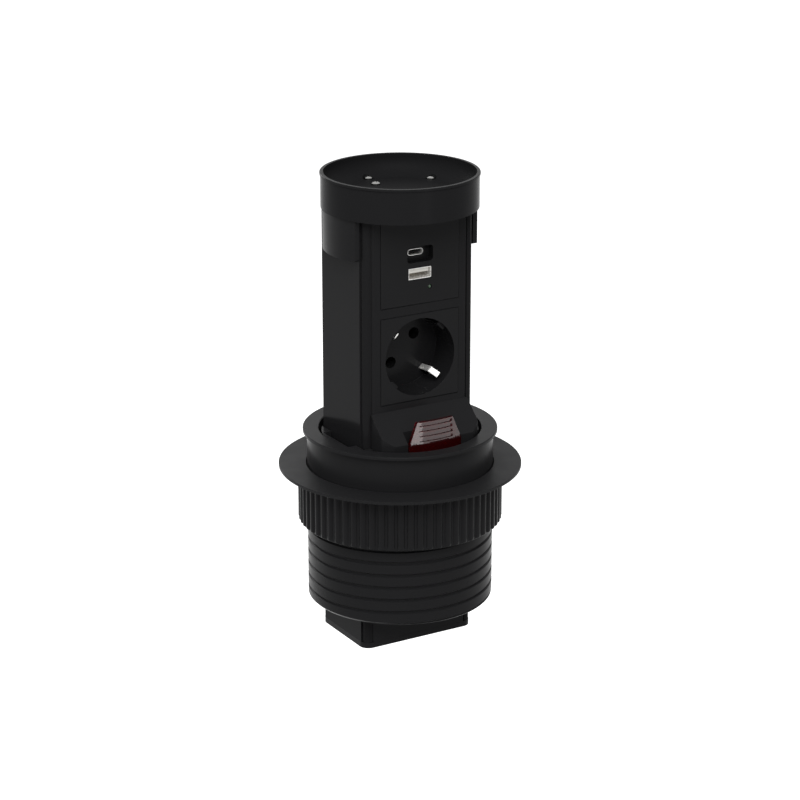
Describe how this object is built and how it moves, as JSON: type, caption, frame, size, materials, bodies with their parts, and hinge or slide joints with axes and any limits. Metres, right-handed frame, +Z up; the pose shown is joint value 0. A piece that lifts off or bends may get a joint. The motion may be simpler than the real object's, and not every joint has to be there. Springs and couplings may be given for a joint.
{
  "type": "pop up desk socket",
  "caption": "Pop up power tower in a threaded worktop sleeve with an earthed socket, USB ports, a clamp disc, a ring nut and a release lever.",
  "frame": {"origin": "on the axis of the worktop hole, at the worktop's top surface under the flange", "axes": "+Z up out of the worktop along the tower, -Y the way the sockets face"},
  "size_m": [0.1238, 0.1238, 0.2423],
  "materials": {
    "satin_black": "satin moulded black plastic",
    "gloss_black": "smooth black plastic",
    "red_tab": "translucent red plastic",
    "black_rubber": "black rubber",
    "bright_steel": "bright steel",
    "chrome": "bright plated metal",
    "brass": "bare brass",
    "gold_contact": "gold plated",
    "board_green": "green lacquered board",
    "lamp": "dark green lens",
    "ferrite": "grey ferrite core",
    "can": "aluminium can",
    "grey_block": "pale grey plastic",
    "brown_wire": "brown insulation",
    "blue_wire": "blue insulation",
    "earth_green": "green and yellow insulation"
  },
  "bodies": {
    "sleeve": {"threaded_sleeve": "satin_black"},
    "disc": {"clamp_disc": "satin_black"},
    "nut": {"ring_nut": "satin_black"},
    "tower": {"tower_shell": "satin_black", "front_cover": "satin_black", "head_plate": "satin_black", "head_screws": "bright_steel", "top_tray": "satin_black", "tray_screws": "bright_steel", "socket_insert": "gloss_black", "earth_clip": "chrome", "contact_carrier": "grey_block", "contact_sleeves": "brass", "usb_faceplate": "gloss_black", "usb_circuit_board": "board_green", "board_screws": "bright_steel", "usb_a_shell": "chrome", "usb_a_tongue": "gloss_black", "usb_a_contacts": "gold_contact", "usb_c_shell": "chrome", "usb_c_tongue": "gloss_black", "status_led": "lamp", "power_transformer": "ferrite", "filter_capacitors": "can", "release_wedge": "satin_black", "wedge_screws": "bright_steel", "lever_pin": "bright_steel", "lever_spring": "bright_steel", "guide_shoe_right": "satin_black", "guide_shoe_left": "satin_black", "rear_shoe": "satin_black", "shoe_screws": "bright_steel", "end_cap": "satin_black", "end_cap_screws": "bright_steel", "cable_bushing": "black_rubber", "terminal_block": "grey_block", "terminal_screws": "brass", "live_wire": "brown_wire", "neutral_wire": "blue_wire", "earth_wire": "earth_green", "usb_leads": "brown_wire"},
    "lever": {"release_lever": "red_tab", "brake_pad": "black_rubber"}
  },
  "joints": [
    {"name": "tower_slide", "type": "slide", "parent": "sleeve", "child": "tower", "axis": [0, 0, -1], "range_m": [0, 0.1325]},
    {"name": "disc_slide", "type": "slide", "parent": "sleeve", "child": "disc", "axis": [0, 0, 1], "range_m": [-0.036, 0.012]},
    {"name": "nut_turn", "type": "hinge", "parent": "disc", "child": "nut", "pos_m": [0, 0, -0.03], "axis": [0, 0, 1], "range_deg": [-1960, 650]},
    {"name": "lever_press", "type": "hinge", "parent": "tower", "child": "lever", "pos_m": [0, -0.03, -0.03], "axis": [-1, 0, 0], "range_deg": [0, 5], "stiffness_Nm_per_rad": 1, "springref_deg": -5.73, "deforming": ["lever_spring"]}
  ],
  "couplings": [
    {"joint": "disc_slide", "follows": "nut_turn", "m_per_rad": 0.0010504}
  ]
}
